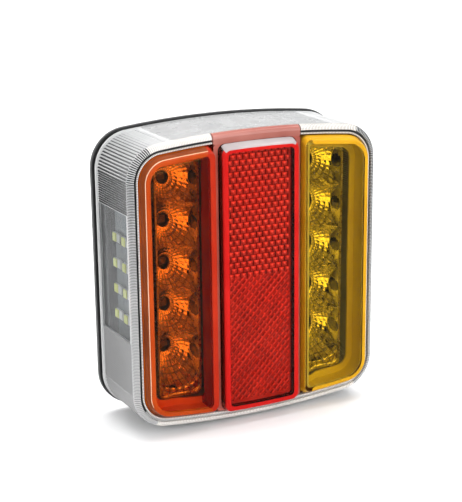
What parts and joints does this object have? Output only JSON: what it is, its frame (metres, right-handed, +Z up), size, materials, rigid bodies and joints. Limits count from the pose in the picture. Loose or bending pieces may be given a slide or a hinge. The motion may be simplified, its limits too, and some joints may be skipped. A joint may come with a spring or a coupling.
{
  "type": "trailer tail light",
  "caption": "Square surface-mount trailer tail light: orange, red reflex and amber lens blocks on a ribbed clear shell, plate light in the left wall, two studs behind.",
  "frame": {"origin": "centre of the flat back face of the rear housing, where the lamp meets the panel", "axes": "+Z up, +X to the right as seen from in front of the lamp, +Y out of the back face towards the panel; the lenses face -Y"},
  "size_m": [0.098, 0.0575, 0.106],
  "materials": {
    "housing_black": "fine moulded texture, black",
    "black_rubber": "soft matt black",
    "clear_plastic": "clear glossy lens plastic with fine ribs on its walls",
    "orange_plastic": "transparent deep orange lens plastic, glossy",
    "red_plastic": "transparent signal red lens plastic, glossy",
    "amber_plastic": "transparent amber lens plastic, glossy",
    "white_plastic": "plain white",
    "reflector_chrome": "vacuum-metallised, mirror bright",
    "circuit_board": "dark blue-grey solder mask",
    "plate_led_yellow": "pale package with a yellow phosphor window",
    "signal_led_white": "cream package with a clear dome",
    "component_black": "moulded black epoxy with tinned ends",
    "zinc_steel": "bright zinc plate"
  },
  "bodies": {
    "lamp": {"amber_led_1": "signal_led_white", "amber_led_2": "signal_led_white", "amber_led_3": "signal_led_white", "amber_led_4": "signal_led_white", "amber_led_5": "signal_led_white", "amber_lens": "amber_plastic", "amber_reflector": "reflector_chrome", "board_header": "component_black", "board_screw_1": "zinc_steel", "board_screw_2": "zinc_steel", "board_screw_3": "zinc_steel", "board_screw_4": "zinc_steel", "cable_grommet": "black_rubber", "diode": "component_black", "left_stud": "zinc_steel", "lens_shell": "clear_plastic", "orange_led_1": "signal_led_white", "orange_led_2": "signal_led_white", "orange_led_3": "signal_led_white", "orange_led_4": "signal_led_white", "orange_led_5": "signal_led_white", "orange_lens": "orange_plastic", "orange_reflector": "reflector_chrome", "plate_board": "circuit_board", "plate_led_1": "plate_led_yellow", "plate_led_2": "plate_led_yellow", "plate_led_3": "plate_led_yellow", "plate_led_4": "plate_led_yellow", "plate_led_5": "plate_led_yellow", "plate_led_6": "plate_led_yellow", "plate_led_7": "plate_led_yellow", "plate_led_8": "plate_led_yellow", "rear_housing": "housing_black", "red_lens": "red_plastic", "reflex_cover": "white_plastic", "reflex_prism_plate": "red_plastic", "resistor_1": "component_black", "resistor_2": "component_black", "resistor_3": "component_black", "resistor_4": "component_black", "right_stud": "zinc_steel", "shell_seal": "black_rubber", "signal_board": "circuit_board"},
    "left_washers": {"left_washer": "zinc_steel", "left_spring_washer": "zinc_steel"},
    "left_nut": {"left_nut": "zinc_steel"},
    "right_washers": {"right_washer": "zinc_steel", "right_spring_washer": "zinc_steel"},
    "right_nut": {"right_nut": "zinc_steel"}
  },
  "joints": [
    {"name": "left_washer_slide", "type": "slide", "parent": "lamp", "child": "left_washers", "axis": [0, 1, 0], "range_m": [-0.003, 0.0104]},
    {"name": "left_nut_spin", "type": "hinge", "parent": "left_washers", "child": "left_nut", "pos_m": [-0.0225, 0.0082, 0], "axis": [0, 1, 0], "range_deg": [-1351, 4681]},
    {"name": "right_washer_slide", "type": "slide", "parent": "lamp", "child": "right_washers", "axis": [0, 1, 0], "range_m": [-0.003, 0.0104]},
    {"name": "right_nut_spin", "type": "hinge", "parent": "right_washers", "child": "right_nut", "pos_m": [0.0225, 0.0082, 0], "axis": [0, 1, 0], "range_deg": [-1351, 4681]}
  ],
  "couplings": [
    {"joint": "left_nut_spin", "follows": "left_washer_slide", "rad_per_m": 7854},
    {"joint": "right_nut_spin", "follows": "right_washer_slide", "rad_per_m": 7854}
  ]
}
